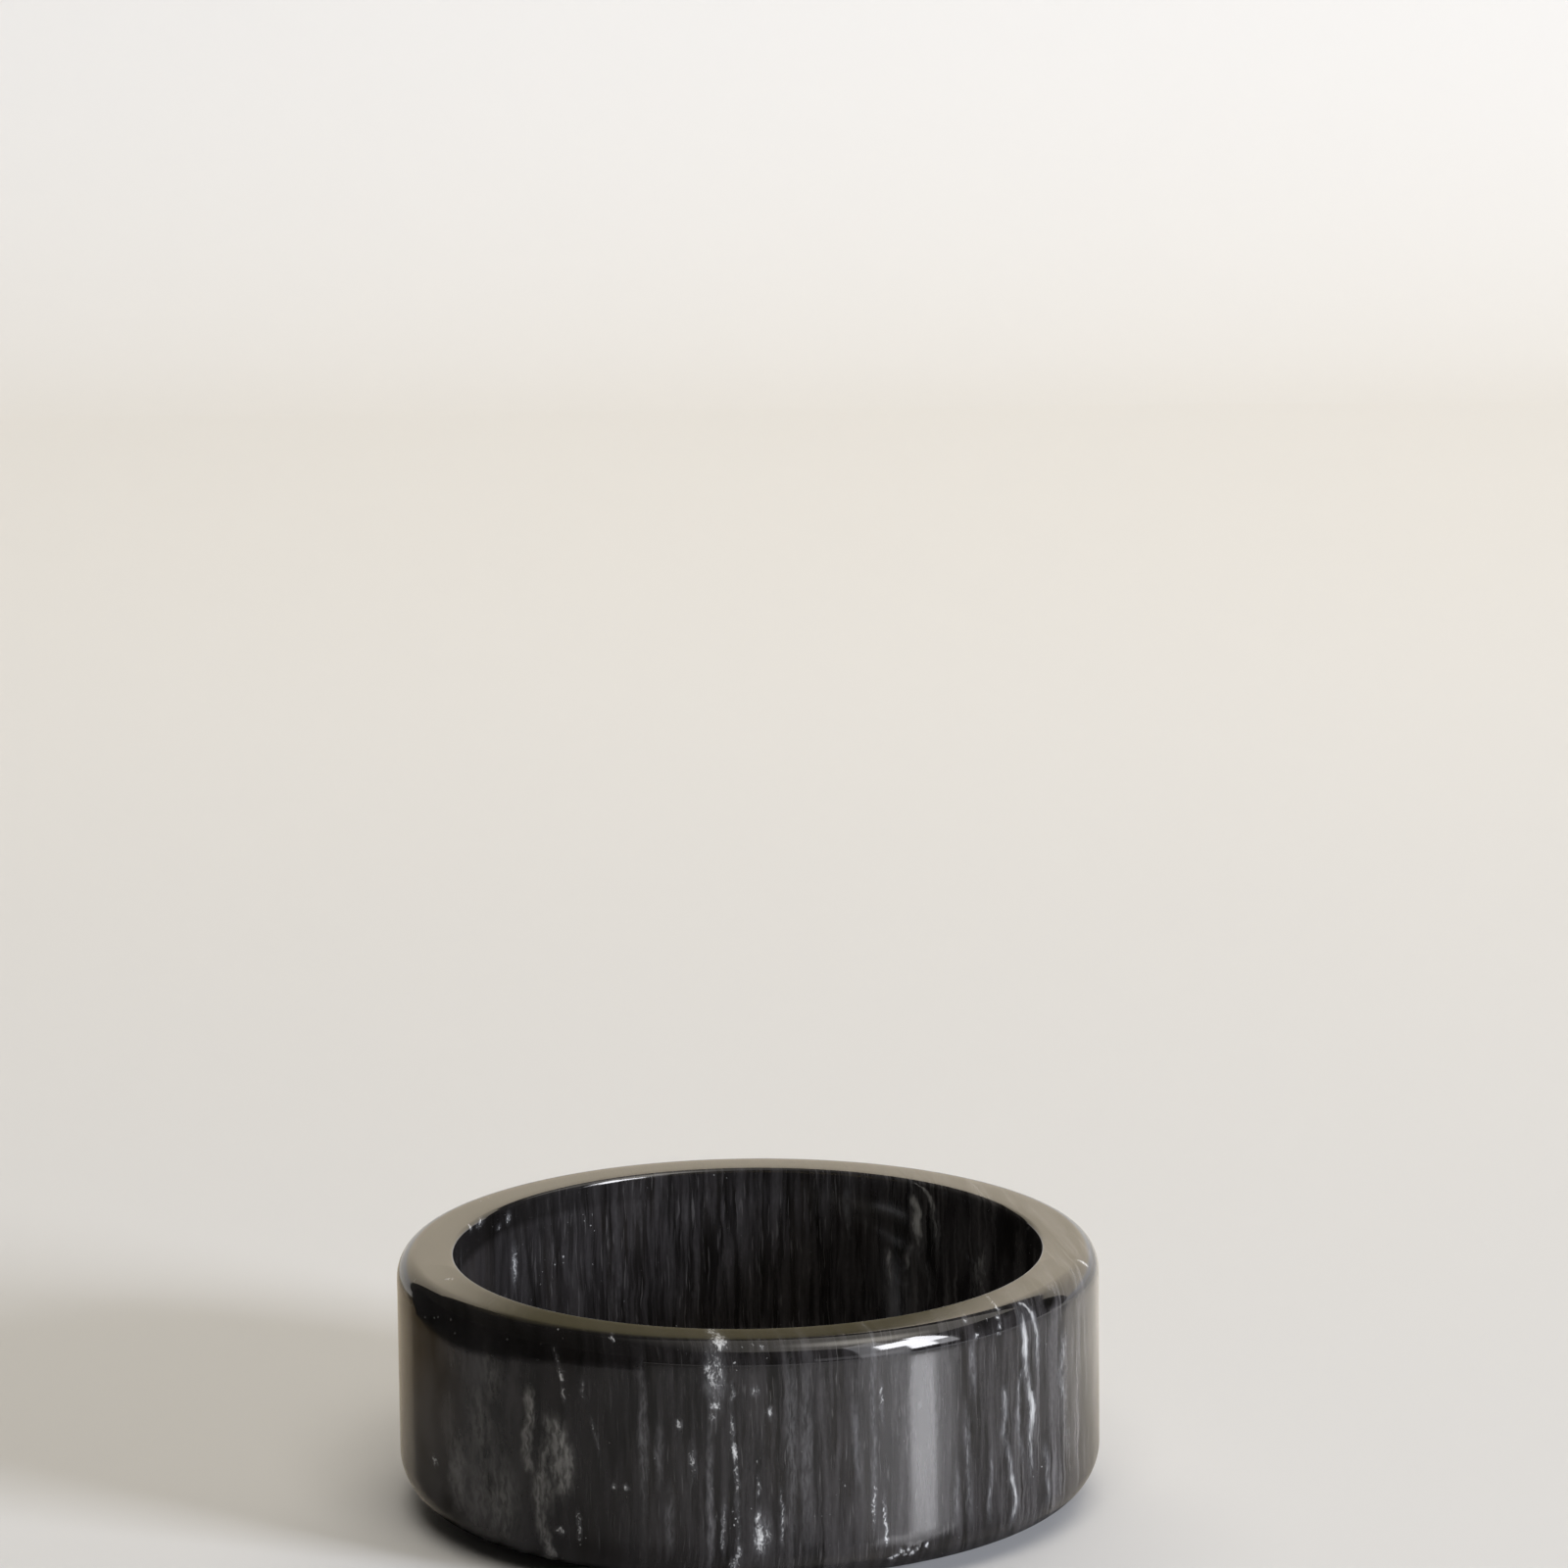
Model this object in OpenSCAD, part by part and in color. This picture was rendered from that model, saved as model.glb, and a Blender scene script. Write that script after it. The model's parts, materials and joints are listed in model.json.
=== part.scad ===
// Wine bottle coaster: a deep round dish turned from one block of black marble.
// It stands on self-adhesive felt pads, each a felt disc on a film of adhesive.
// Millimetres, +Z up. The origin is on the table top, on the axis of the dish.
// The front is towards -Y.

/* [Dish] */
// Outside diameter of the stone
dish_d = 127; // [100:1:160]
// Height of the stone, from its underside to its rim
dish_h = 45; // [32:1:70]
// Thickness of the wall round the well
wall_t = 10.4; // [7:0.2:16]
// Thickness of the floor under the well
floor_t = 11; // [8:0.5:16]

/* [Stone edges] */
// Radius of the rim's outer edge
rim_outer_r = 3.6; // [1.5:0.1:5]
// Radius of the rim's inner edge
rim_inner_r = 0.8; // [0.4:0.1:1.8]
// Radius of the edge round the underside
base_edge_r = 8.5; // [3:0.5:14]
// Radius of the cove between the well's wall and its floor
cove_r = 4; // [1:0.5:8]

/* [Pads] */
// Diameter of a felt pad
pad_d = 16; // [10:1:22]
// Thickness of the felt
felt_t = 1.8; // [1:0.1:4]
// Radius of the felt's worn lower edge
felt_edge_r = 0.5; // [0.2:0.1:0.8]
// Thickness of the adhesive film
film_t = 0.2; // [0.1:0.05:0.5]
// Width of felt that the film leaves bare round its edge
film_margin = 0.3; // [0:0.1:1]
// Stone left bare between a pad and the rounded edge
pad_inset = 3; // [1:0.5:8]

/* [Hidden] */
// Facets of a full circle
$fn = 180;
// Length by which a cut runs past the face that it opens
overrun = 1;

dish_r = dish_d / 2;
well_r = dish_r - wall_t;
base_flat_r = dish_r - base_edge_r;

pad_r = pad_d / 2;
film_r = pad_r - film_margin;
pad_ring_r = base_flat_r - pad_inset - pad_r;

// Heights above the table
film_z = felt_t;
dish_z = film_z + film_t;

// One pad in each quarter, counted round from +X
PAD_PLACES = ["rear_right", "rear_left", "front_left", "front_right"];
LAST_PAD = len(PAD_PLACES) - 1;
PAD_STEP = 360 / len(PAD_PLACES);
FIRST_PAD_ANGLE = PAD_STEP / 2;

function felt_name(i) = str("felt_pad_", PAD_PLACES[i]);
function film_name(i) = str("adhesive_film_", PAD_PLACES[i]);

// What is cut off a square corner to round it. The corner is at the origin, and
// the material lies below it and to its left.
module corner_waste(edge_r) {
    translate([-edge_r, -edge_r])
        difference() {
            square(edge_r + overrun);
            circle(edge_r);
        }
}

// Half section of the well, which runs out through the rim
module well_section() {
    translate([0, floor_t])
        difference() {
            square([well_r, dish_h - floor_t + overrun]);
            translate([well_r, 0]) mirror([0, 1]) corner_waste(cove_r);
        }
}

// Half section of the dish, to the right of its axis
module dish_section() {
    difference() {
        square([dish_r, dish_h]);
        well_section();
        translate([dish_r, dish_h]) corner_waste(rim_outer_r);
        translate([well_r, dish_h]) mirror([1, 0]) corner_waste(rim_inner_r);
        translate([dish_r, 0]) mirror([0, 1]) corner_waste(base_edge_r);
    }
}

module stone_dish() {
    color("#262425")
        translate([0, 0, dish_z])
            rotate_extrude() dish_section();
}

// Carries a pad's piece from the axis to its place under the dish
module at_pad(i) {
    rotate(FIRST_PAD_ANGLE + i * PAD_STEP)
        translate([pad_ring_r, 0, 0])
            children();
}

module felt_pad(i) {
    color("#35343a")
        at_pad(i)
            rotate_extrude()
                difference() {
                    square([pad_r, felt_t]);
                    translate([pad_r, 0]) mirror([0, 1]) corner_waste(felt_edge_r);
                }
}

module adhesive_film(i) {
    color("#cfc9b8")
        at_pad(i)
            translate([0, 0, film_z])
                cylinder(r = film_r, h = film_t);
}

stone_dish();
for (i = [0 : LAST_PAD]) {
    felt_pad(i);
    adhesive_film(i);
}
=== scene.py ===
import json
import math

import bpy
from mathutils import Matrix, Quaternion, Vector


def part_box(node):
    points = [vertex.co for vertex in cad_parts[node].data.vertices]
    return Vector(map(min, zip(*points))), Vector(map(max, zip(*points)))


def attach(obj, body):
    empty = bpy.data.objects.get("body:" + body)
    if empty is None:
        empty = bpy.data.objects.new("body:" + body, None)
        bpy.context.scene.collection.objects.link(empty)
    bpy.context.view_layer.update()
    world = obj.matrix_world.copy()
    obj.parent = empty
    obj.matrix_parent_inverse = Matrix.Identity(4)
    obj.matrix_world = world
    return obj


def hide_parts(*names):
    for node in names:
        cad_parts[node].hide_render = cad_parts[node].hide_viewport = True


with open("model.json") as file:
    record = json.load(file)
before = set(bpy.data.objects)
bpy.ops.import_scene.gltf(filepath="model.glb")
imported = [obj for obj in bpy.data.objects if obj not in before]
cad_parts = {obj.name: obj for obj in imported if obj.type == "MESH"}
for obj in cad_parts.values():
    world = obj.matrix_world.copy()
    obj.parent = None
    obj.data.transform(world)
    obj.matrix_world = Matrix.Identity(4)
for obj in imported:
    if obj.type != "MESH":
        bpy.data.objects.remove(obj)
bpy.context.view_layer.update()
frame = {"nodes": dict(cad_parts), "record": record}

MM = 0.001

# Sizes of the dish, from the frame and its mounts
mounts = {mount["name"]: mount for mount in frame["record"]["mounts"]}
stone_low, stone_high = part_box("stone_dish")
DISH_R = stone_high.x
UNDERSIDE_Z = stone_low.z
RIM_Z = stone_high.z
FLOOR_Z = mounts["well_floor"]["pos_m"][2]
WELL_R = mounts["bottle_well"]["dims"]["r_mm"] * MM
WELL_MID_Z = mounts["bottle_well"]["pos_m"][2]
WELL_HALF = mounts["bottle_well"]["dims"]["length_mm"] / 2 * MM
RIM_INNER_R = RIM_Z - WELL_MID_Z - WELL_HALF
COVE_R = WELL_MID_Z - WELL_HALF - FLOOR_Z
RIM_OUTER_R = 3.6 * MM
RIM_RUN_OUT = 4.6 * MM
RIM_CROWN = 0.1 * MM
BASE_EDGE_R = 8.5 * MM

# How finely the lathe work is meshed
LATHE_STEPS = 680
WALL_STEP = 1.2 * MM
FLAT_STEP = 5.0 * MM
RIM_STEP = 1.5 * MM
FOOT_EDGE_STEPS = 30
EDGE_STEPS = 14
SMALL_EDGE_STEPS = 7
SEAM_MERGE = MM / 1000

# The hand polish leaves slow waves in the stone
POLISH_WAVE = 13 * MM
POLISH_HEIGHT = 0.05 * MM
# A small chipped place on the foot, to the right of the front
CHIP_PLACE = Vector((28.4, -55.9, 6.7)) * MM
CHIP_REACH = Vector((4.2, 3.0, 1.6)) * MM
CHIP_DEPTH = 0.45 * MM
CHIP_GRAIN = 1.1 * MM
# The share of its reach at which the chipped place begins to fade, and the levels of noise that make pits
CHIP_FADES = 0.6
CHIP_PIT_NOISE = (0.42, 0.6)

# Felt: a worn lower edge, a slightly uneven face and a fuzz of fibres on the side
FELT_EDGE_R = 0.5 * MM
FELT_STEP = 0.9 * MM
FELT_STEPS = 96
FELT_WAVE = 2.0 * MM
FELT_WAVE_HEIGHT = 0.08 * MM
FUZZ_PER_MM2 = 11
FUZZ_LENGTH = 0.9 * MM
FUZZ_R = 0.02 * MM
# Where a fibre bends and ends, in shares of its length, and how much shorter or longer others are
FUZZ_BEND = (0.3, -0.1, 0.35)
FUZZ_TIP = (0.8, 0.2, 0.3)
FUZZ_SIZES = (0.5, 1.2)
# A face counts as the side of the disc up to this upward share of its normal
FUZZ_SIDE = 0.7
# Flecks in the felt, and clouds in the adhesive
FELT_FLECK = 0.6 * MM
FILM_CLOUD = 2 * MM

# Sockets of a colour Mix node, and of a Random Value node set to one number
MIX_FACTOR, MIX_A, MIX_B, MIXED = 0, 6, 7, 2
RANDOM_MIN, RANDOM_MAX, RANDOM_SEED, RANDOM_FLOAT = 2, 3, 8, 1


def linear(hex_colour):
    """An sRGB hex colour as linear RGBA."""
    channels = [int(hex_colour[i:i + 2], 16) / 255 for i in (1, 3, 5)]
    return (*[c / 12.92 if c <= 0.04045 else ((c + 0.055) / 1.055) ** 2.4 for c in channels], 1)


def add(tree, kind, inputs=None, **settings):
    """Adds a node. An input is a value, a socket, or a node, which gives its first output."""
    made = tree.nodes.new(kind)
    for name, value in settings.items():
        setattr(made, name, value)
    for key, value in (inputs or {}).items():
        if isinstance(value, bpy.types.Node):
            value = value.outputs[0]
        if isinstance(value, bpy.types.NodeSocket):
            tree.links.new(value, made.inputs[key])
        else:
            made.inputs[key].default_value = value
    return made


def new_material(name, **surface):
    """An empty material: its tree, and its surface shader with the even values set."""
    material = bpy.data.materials.new(name)
    material.use_nodes = True
    tree = material.node_tree
    shader = tree.nodes["Principled BSDF"]
    for socket, value in surface.items():
        shader.inputs[socket.replace("_", " ")].default_value = value
    return material, tree, shader


# Black marble
# The beds stand on edge, front to back, and are turned a little about the vertical.
BED_TURN = math.radians(12)
# Veins of calcite, where they show on the front of the wall, in millimetres: half width, then points on the
# way down, each with its place across, its height above the floor, and how white the vein is there
VEINS = {
    "arch": (0.5, ((47.6, 47, 0.3), (48.2, 46.5, 0.8), (49.2, 46, 1.0), (50.2, 45, 1.0), (50.8, 43, 0.9),
                   (51.2, 40, 0.8), (51.4, 35, 0.6), (51.6, 30, 0))),
    "main vein": (0.7, ((47.4, 47, 0.4), (48.6, 44, 0.7), (49, 41, 1.2), (49, 39, 1.2), (49.2, 36, 0.8),
                        (49.4, 33, 0.7), (50, 30, 1.1), (50.4, 27, 1.15), (50.2, 24, 0.95), (50, 20, 0.7),
                        (50.2, 16, 0.5), (50.2, 10, 0))),
    "branch": (0.5, ((49.2, 37, 0.3), (48, 33, 0.7), (47.8, 29, 0.7), (47.8, 25, 0.6), (48.4, 20, 0.5),
                     (49.2, 14, 0))),
    "low vein": (0.55, ((45.2, 34, 0), (45.2, 32, 0.8), (45.4, 28, 0.7), (45, 25, 0.6), (45.6, 22, 0.6),
                        (46.4, 18, 0.75), (46.8, 14, 0.95), (47.2, 12, 0.95), (46.8, 9, 0.7),
                        (46.4, 4, 0.2))),
    "right of the band": (0.5, ((38.2, 33, 0), (38.4, 28, 0.6), (38.6, 22, 0.55), (38.8, 16, 0.6),
                                (39, 8, 0))),
    "beside it": (0.5, ((36.4, 23, 0), (36.6, 16, 0.6), (36.4, 7, 0))),
    "faint line": (0.4, ((42.8, 24, 0), (42.8, 18, 0.6), (42.4, 13, 0.6), (42.2, 6, 0))),
    "outer vein": (0.9, ((56.4, 41, 0), (56.2, 36, 0.7), (55.8, 32, 0.75), (56, 28, 0.7), (56.4, 23, 0.5),
                         (57, 18, 0.5), (57.2, 14, 0))),
    "low line": (0.6, ((52.4, 22, 0), (52.8, 17, 0.6), (53.2, 12, 0.65), (53, 5, 0))),
    "high line": (0.5, ((39.4, 45, 0), (39.4, 41, 0.6), (39.6, 37, 0.55), (39.8, 30, 0))),
    "left of the band": (0.4, ((22, 44, 0.5), (21.8, 35, 0.6), (22.2, 26, 0.5), (22, 22, 0.6), (22, 15, 0))),
    "next to it": (0.5, ((18.6, 37, 0), (18.8, 32, 0.5), (19.2, 24, 0.5), (19.2, 19, 0))),
}
# Lines of calcite grains, drawn the same way
BEADED_LINES = {
    "short lines": (0.35, ((22, 22, 0), (22, 18, 0.65), (21.8, 13, 0.4), (21.8, 9, 0))),
    "by the band": (0.3, ((23.4, 40, 0), (23.4, 36, 0.5), (23.6, 29, 0), (23.6, 21, 0), (23.8, 15, 0.65),
                          (24, 10, 0.85), (24, 7, 0))),
    "middle": (0.35, ((-2.6, 42, 0), (-2.6, 38, 0.5), (-2.8, 35, 0.2), (-2.8, 32, 0.55), (-2.6, 30, 0.4),
                      (-2.4, 28, 1.05), (-2.2, 25, 0.6), (-2, 22, 0.6), (-2.1, 19, 0.35), (-1.8, 12, 0.4),
                      (-1.8, 9, 0.7), (-2.4, 5, 0.7))),
    "left of the middle": (0.3, ((-4.2, 20, 0), (-4.3, 17, 0.5), (-4.6, 11, 0.6), (-4.8, 8, 0))),
    "right of the middle": (0.3, ((5.4, 23, 0), (5.8, 18, 0.5), (5.8, 13, 0.6), (5.6, 9, 0))),
    "left": (0.35, ((-34, 44.5, 0), (-33.4, 42, 0.5), (-33, 40.5, 0.3), (-32.6, 38.6, 0.85),
                    (-32.5, 37.4, 0.2), (-32.4, 36, 0.75), (-32.2, 33, 0))),
    "left hairs": (0.3, ((-29.2, 40, 0), (-29, 37, 0.5), (-28, 34, 0), (-27, 30, 0.35), (-26, 25, 0.2),
                         (-25.8, 21, 0))),
    "left of the foot": (0.3, ((-30, 16, 0), (-29.9, 12, 0.7), (-29.8, 8, 0))),
}
# The grey loop on the left, drawn the same way
LOOP = {
    "left side": (0.55, ((-38.2, 37, 0), (-38.4, 33, 0.8), (-38.2, 30, 0.8), (-39, 27, 0.6),
                         (-39.2, 24, 0.6), (-38.8, 21, 0.5), (-38, 19, 0))),
    "right side": (1.1, ((-34.6, 33, 0), (-34.2, 30, 0.75), (-33, 27, 0.9), (-32.2, 23, 0.8),
                         (-32.6, 19, 0.65), (-34, 15, 0))),
    "tail": (0.7, ((-35.2, 30, 0), (-35.4, 26, 0.5), (-36.2, 21, 0.65), (-37.2, 18, 0.6), (-37, 14, 0.5),
                   (-36.6, 11, 0.5), (-35.8, 8, 0.65), (-34.4, 5, 0.65))),
}
# Soft marks on the front of the wall, in millimetres:
# place across, height above the floor, half width, half height, and how strong the mark is
GRANULAR_CALCITE = {
    "patch under the rim": (
        (-4.7, 46.5, 1.2, 0.8, 1.1), (-7.0, 42.5, 0.5, 0.9, 0.9), (-6.1, 40.3, 0.6, 1.3, 0.85),
        (-4.6, 41.6, 0.5, 1.2, 0.75), (-5.6, 35.9, 0.7, 0.7, 1.1), (-6.2, 33.7, 0.6, 0.8, 0.7),
        (-5.6, 41.5, 1.6, 4.2, 0.55)),
    "low patch": (
        (1.6, 15.3, 0.5, 1.0, 1.0), (1.9, 11.8, 0.8, 2.1, 1.1), (3.0, 12.6, 0.7, 1.8, 0.6),
        (1.7, 21.0, 0.4, 1.6, 0.6), (-2.4, 6.6, 1.0, 1.2, 0.65)),
    "loose grains": (
        (2.5, 46.0, 0.4, 0.5, 0.9), (1.3, 38.6, 0.7, 0.8, 0.6), (3.9, 34.5, 0.4, 1.0, 0.95),
        (-12.0, 32.3, 0.5, 0.8, 0.8), (-23.5, 20.0, 0.4, 0.7, 0.75), (-21.3, 20.1, 0.4, 0.6, 0.75),
        (-23.5, 46.4, 0.3, 0.3, 0.7), (-33.3, 10.3, 0.6, 0.7, 0.7), (-56.2, 16.0, 0.3, 1.2, 0.75),
        (-9.8, 25.5, 0.6, 2.8, 0.5)),
    "right beads": (
        (38.3, 46.5, 0.4, 0.4, 0.6), (40.2, 43.7, 0.4, 0.5, 0.8), (44.0, 46.9, 0.4, 0.4, 0.8),
        (44.2, 45.6, 0.4, 0.5, 0.7), (44.4, 44.4, 0.4, 0.5, 0.7), (44.4, 43.0, 0.4, 0.4, 0.6)),
    "chipped foot": (
        (25.2, 5.7, 0.5, 0.4, 0.9), (26.0, 6.1, 0.5, 0.4, 1.0), (26.8, 6.9, 0.4, 0.6, 1.0),
        (27.4, 6.2, 0.4, 0.4, 0.8), (28.0, 7.2, 0.4, 0.5, 1.0), (28.7, 6.3, 0.6, 0.5, 1.0),
        (29.5, 6.9, 0.4, 0.4, 0.8), (31.3, 7.3, 0.4, 0.5, 1.0)),
}
GREY_CLOUDS = {
    "blotch": ((-33.3, 23.5, 1.4, 4.8, 0.7), (-35.9, 17.0, 1.2, 3.0, 0.45)),
    "left clouds": (
        (-51.7, 16.5, 1.2, 6.5, 0.3), (-43.7, 13.4, 2.2, 6.5, 0.35), (-45.3, 36.6, 1.3, 4.5, 0.22),
        (-47.5, 26.0, 1.4, 7.0, 0.25), (-47.0, 15.0, 4.5, 9.0, 0.2)),
}
FRONT_BANDS = {
    "grey streaks": (
        (-6.7, 18.5, 0.5, 11.0, 0.65), (-18.4, 29.6, 0.6, 11.0, 0.45), (-13.9, 14.9, 0.7, 4.8, 0.4),
        (-15.7, 26.4, 0.6, 4.4, 0.4), (7.6, 28.6, 0.9, 14.0, 0.35), (10.2, 27.0, 1.0, 15.0, 0.35)),
    "veils of calcite": ((-5.7, 40.5, 1.3, 6.0, 0.5), (2.2, 12.5, 1.2, 4.5, 0.5)),
}
# Dark places: the hole in the blotch is the stone's own; those on the right of the rim's edge are painted
# shade
DARK_STONE_AND_SHADE = {
    "edge on the right": (
        (53.6, 45.2, 1.8, 1.2, 1.1), (45.8, 46.2, 1.2, 0.8, 0.9), (41.8, 45.6, 2.4, 1.4, 0.7)),
    "hole in the blotch": ((-35.4, 23.0, 0.4, 1.8, 0.9),),
}
# Marks elsewhere on the rim and the well: their place, their half sizes, and how strong they are
OTHER_CALCITE = [
    ((-50.6, 16.2, 46.6), (0.5, 0.8, 1.0), 0.75), ((-49.2, 20.6, 46.0), (1.0, 2.8, 0.7), 0.7),
    ((-45.8, 26.8, 43.6), (0.5, 0.9, 0.5), 0.75), ((-44.2, 29.6, 44.4), (0.5, 0.9, 1.2), 0.65),
    ((-43.2, 30.9, 34.8), (0.6, 2.0, 3.2), 0.75), ((-53.4, -20.2, 47.0), (1.2, 0.8, 0.5), 0.7),
    ((60.2, -12.0, 46.5), (1.8, 0.8, 0.9), 0.9),
]
# How deep the marks on the front reach, along the beds
CALCITE_DEPTH = 9
# How far a soft lens reaches, in half sizes
LENS_REACH = 1.9
# The span of the curves that the veins follow, across and up the beds
VEIN_HALF_SPAN = 64
VEIN_TOP = 50
# How the beds wander: the wave in millimetres and the detail of the noise that pushes them, and its reach
# across, along and up the beds
WANDERS = {
    "slow": (45, 2, (3.5, 0, 0)),
    "straight": (7, 3, (1.0, 1, 3)),
    "drifting": (5, 4, (1.5, 2, 4)),
    "wavering": (3, 3, (0.9, 1, 2)),
    "ragged": (1.8, 4, (1.2, 1, 2)),
}
# Regions of the stone: an axis of the beds, from and to in millimetres, and the share at each.
# The shade drop is in millimetres: how much further down the painted shade under the rim reaches.
REGIONS = {
    "left": ("X", -56, -44, 1, 0.1),
    "off the left": ("X", -42, -12, 0.15, 0.78),
    "off the right": ("X", 25, 50, 1, 0.4),
    # Pale beds and lines only on the right: partly the stone's own grey streaks, partly painted light on the
    # side the window lights
    "right": ("X", 28, 48, 0, 1),
    "front": ("Y", -24, -12, 1, 0),
    # Painted shade under the rim: how far down it reaches, and how much of it, most to the left
    "edge drop": ("X", -57, -38, 2.8, 0),
    "edge darkness": ("X", -52, -5, 0.8, 0.15),
}
# The heights between which painted shade darkens the edge under the rim
SHADED_EDGE_Z = (41.4, 42.8)
# Patterns in the stone: the wander that they follow, their grain in millimetres across, along and up the
# beds, the detail of their noise, two levels of the noise, and the share at each
PATTERNS = {
    "smears": ("slow", (6, 60, 30), 2, 0.45, 0.75, 0, 1),
    "bands": ("slow", (2.4, 60, 22), 3, 0.42, 0.74, 0, 1),
    "clouds": ("drifting", (2.4, 40, 14), 3, 0.34, 0.64, 0, 1),
    "streaks": ("straight", (1.5, 50, 18), 3, 0.46, 0.66, 0, 1),
    "fibres": ("straight", (0.5, 40, 10), 3, 0.48, 0.7, 0, 1),
    "hairs": ("straight", (0.4, 30, 6), 1, 0.63, 0.74, 0, 1),
    "pale beds": ("slow", (2.4, 20, 26), 2, 0.45, 0.64, 0, 1),
    "lines": ("wavering", (0.6, 20, 20), 2, 0.52, 0.72, 0, 1),
    "speckle": ("still", (0.5, 1, 1.2), 3, 0.35, 0.65, 0.75, 1.2),
    "comb": ("ragged", (0.5, 20, 2.5), 3, 0.38, 0.62, 0.3, 1.15),
    "vein stretches": ("still", (50, 22, 60), 1, 0.5, 0.58, 0, 1),
    "specks": ("still", (0.5, 1, 0.6), 0, 0.82, 0.88, 0, 0.4),
    "few places": ("still", (9, 30, 12), 1, 0.58, 0.66, 0, 1),
    "polish": ("still", (6, 6, 6), 2, 0.35, 0.65, 0.05, 0.08),
}
# How grain cuts into calcite: its wander, size and detail, its depth, and the strengths at which none and
# all of the calcite is left
GRAIN_CUTS = ("ragged", (0.28, 1, 0.55), 4, 2.2, 0.5, 1.4)
VEIN_CUTS = ("wavering", (0.35, 3, 2.5), 3, 1.1, 0.6, 1.75)
# How much rougher white calcite is than the polished stone
CALCITE_DULLNESS = 0.18
# What lies over the black of the stone, from the lowest up: colour, strength, and the shares that limit it
STONE_BLACK = "#0a0908"
LAYERS = (
    ("#1f1c1a", 1, ("smears",)),
    ("#262425", 1, ("bands",)),
    ("#464445", 1, ("clouds", "left")),
    ("#3c3a3b", 1, ("streaks", "off the left", "off the right", "speckle")),
    ("#302e2f", 1, ("fibres", "off the left", "off the right")),
    ("#6b6969", 0.4, ("hairs", "off the left", "off the right")),
    # Pale beds and lines on the right: partly real streaks, partly painted light
    ("#464445", 1, ("pale beds", "right", "speckle")),
    ("#757374", 0.5, ("lines", "right")),
    ("#6d6c6e", 1, ("front bands", "comb")),
    ("#82817f", 1, ("loop and clouds", "comb")),
    # Dark stone, with the painted shade under the rim and on the right of its edge
    (STONE_BLACK, 1, ("dark stone",)),
    ("#77777a", 0.5, ("calcite", "comb")),
    ("#d6d7d7", 1, ("white",)),
)


def bed_point(across, back, height):
    """A point in millimetres, along the beds' own axes."""
    turn = -BED_TURN
    return (across * math.cos(turn) - back * math.sin(turn),
            across * math.sin(turn) + back * math.cos(turn),
            height)


def on_front(across, height):
    """A point on the front of the wall or of the rim's outer edge, in millimetres."""
    rise = max(0, (height * MM - RIM_Z + RIM_RUN_OUT) / RIM_RUN_OUT)
    radius = (DISH_R - RIM_OUTER_R * (1 - math.sqrt(1 - min(1, rise) ** 2))) / MM
    return across, -math.sqrt(radius ** 2 - across ** 2), height


def front_spots(groups):
    """Soft marks on the front of the wall, each as a place in the stone, half sizes and a strength."""
    return [(on_front(across, height), (half_width, CALCITE_DEPTH, half_height), strength)
            for group in groups.values() for across, height, half_width, half_height, strength in group]


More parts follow.
